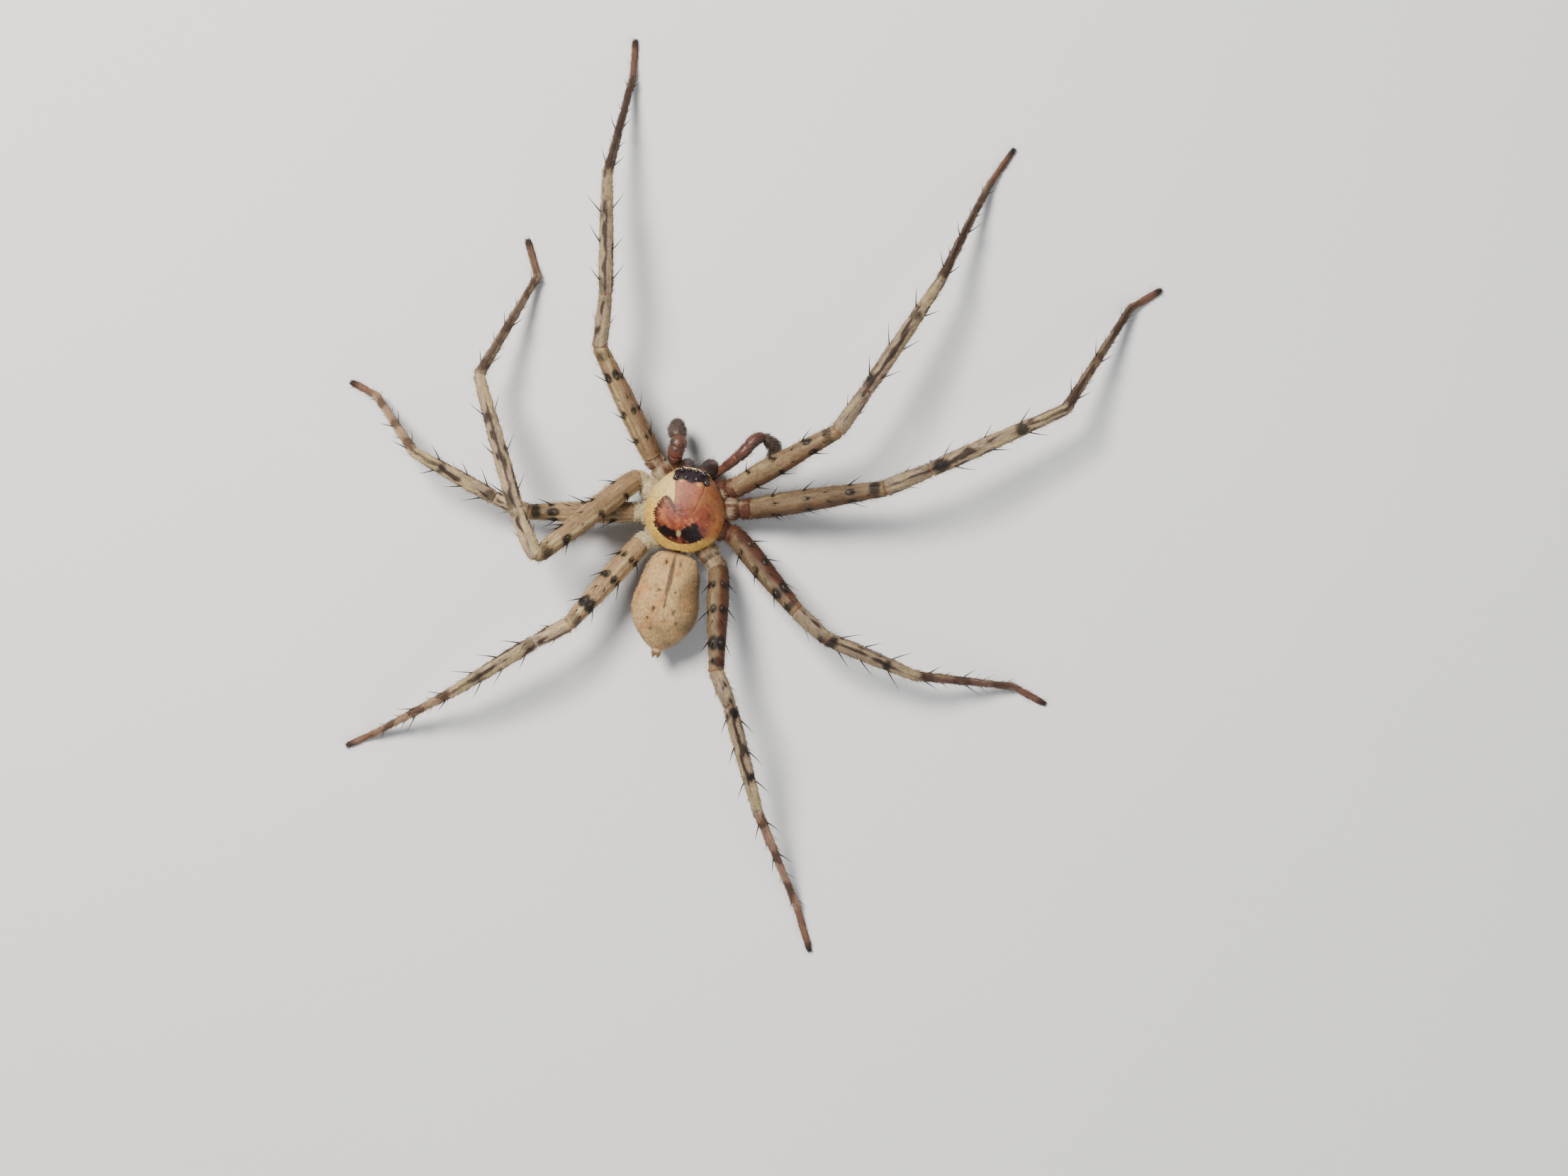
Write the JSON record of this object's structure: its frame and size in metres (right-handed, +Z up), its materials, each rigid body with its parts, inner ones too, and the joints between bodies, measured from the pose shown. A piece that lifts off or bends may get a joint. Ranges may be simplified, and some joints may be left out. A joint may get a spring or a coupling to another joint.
{
  "type": "huntsman spider model",
  "caption": "Life-size still model of a male huntsman spider at rest, low domed body, slim abdomen, long banded legs spread flat and to the front.",
  "frame": {"origin": "on the floor under the middle of the whole animal's box", "axes": "+Z up from the floor, -Y towards the head, +X towards the animal's left side"},
  "size_m": [0.078, 0.0862, 0.0111],
  "materials": {
    "shell": "satin red-brown cuticle with a cream edge",
    "underside": "matt brown cuticle with short hair",
    "abdomen": "soft tan skin under short flat hair",
    "limb": "khaki cuticle with black spots and short hair",
    "foot": "dark brown, bristly",
    "jaw": "dark brown hairy chitin",
    "palp": "red-brown cuticle with short hair",
    "eye": "glossy near-black"
  },
  "bodies": {
    "root": {"carapace": "shell", "sternum": "underside", "pedicel": "underside", "abdomen": "abdomen", "spinnerets": "underside", "chelicera_left": "jaw", "chelicera_right": "jaw", "palp_left": "palp", "palp_right": "palp", "palp_club_left": "foot", "palp_club_right": "foot", "eye_front_middle_left": "eye", "eye_front_middle_right": "eye", "eye_front_side_left": "eye", "eye_front_side_right": "eye", "eye_rear_middle_left": "eye", "eye_rear_middle_right": "eye", "eye_rear_side_left": "eye", "eye_rear_side_right": "eye", "leg_1_left_coxa": "limb", "leg_1_left_femur": "limb", "leg_1_left_patella": "limb", "leg_1_left_tibia": "limb", "leg_1_left_foot": "foot", "leg_2_left_coxa": "limb", "leg_2_left_femur": "limb", "leg_2_left_patella": "limb", "leg_2_left_tibia": "limb", "leg_2_left_foot": "foot", "leg_3_left_coxa": "limb", "leg_3_left_femur": "limb", "leg_3_left_patella": "limb", "leg_3_left_tibia": "limb", "leg_3_left_foot": "foot", "leg_4_left_coxa": "limb", "leg_4_left_femur": "limb", "leg_4_left_patella": "limb", "leg_4_left_tibia": "limb", "leg_4_left_foot": "foot", "leg_1_right_coxa": "limb", "leg_1_right_femur": "limb", "leg_1_right_patella": "limb", "leg_1_right_tibia": "limb", "leg_1_right_foot": "foot", "leg_2_right_coxa": "limb", "leg_2_right_femur": "limb", "leg_2_right_patella": "limb", "leg_2_right_tibia": "limb", "leg_2_right_foot": "foot", "leg_3_right_coxa": "limb", "leg_3_right_femur": "limb", "leg_3_right_patella": "limb", "leg_3_right_tibia": "limb", "leg_3_right_foot": "foot", "leg_4_right_coxa": "limb", "leg_4_right_femur": "limb", "leg_4_right_patella": "limb", "leg_4_right_tibia": "limb", "leg_4_right_foot": "foot"}
  },
  "joints": []
}
